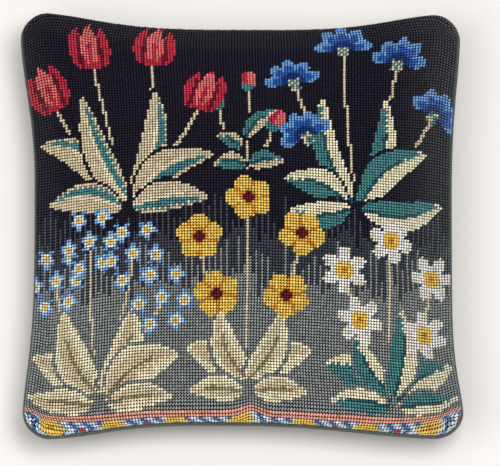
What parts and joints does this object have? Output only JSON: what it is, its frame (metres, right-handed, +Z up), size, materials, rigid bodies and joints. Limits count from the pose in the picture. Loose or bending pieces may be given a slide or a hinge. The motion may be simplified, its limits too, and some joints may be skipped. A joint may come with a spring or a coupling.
{
  "type": "needlepoint cushion",
  "caption": "Square filled cushion with a stitched needlepoint canvas front, a corded piping in the seam all round and a plain dark cloth back, lying on its back.",
  "frame": {"origin": "under the middle of the cushion, on the surface that it lies on", "axes": "+Z up out of the stitched face, +Y towards the top edge of the panel's design, +X towards its right edge"},
  "size_m": [0.3886, 0.3879, 0.1116],
  "materials": {
    "needlepoint_wool": "wool yarn in tent stitch on canvas, matt, floral design on a dark shaded ground",
    "back_cloth": "plain dark slate green woven cotton, matt",
    "piping_cloth": "plain slate green cloth cut on the bias over a cord, matt"
  },
  "bodies": {
    "root": {"needlepoint_panel": "needlepoint_wool", "filled_back": "back_cloth", "piping": "piping_cloth"}
  },
  "joints": []
}
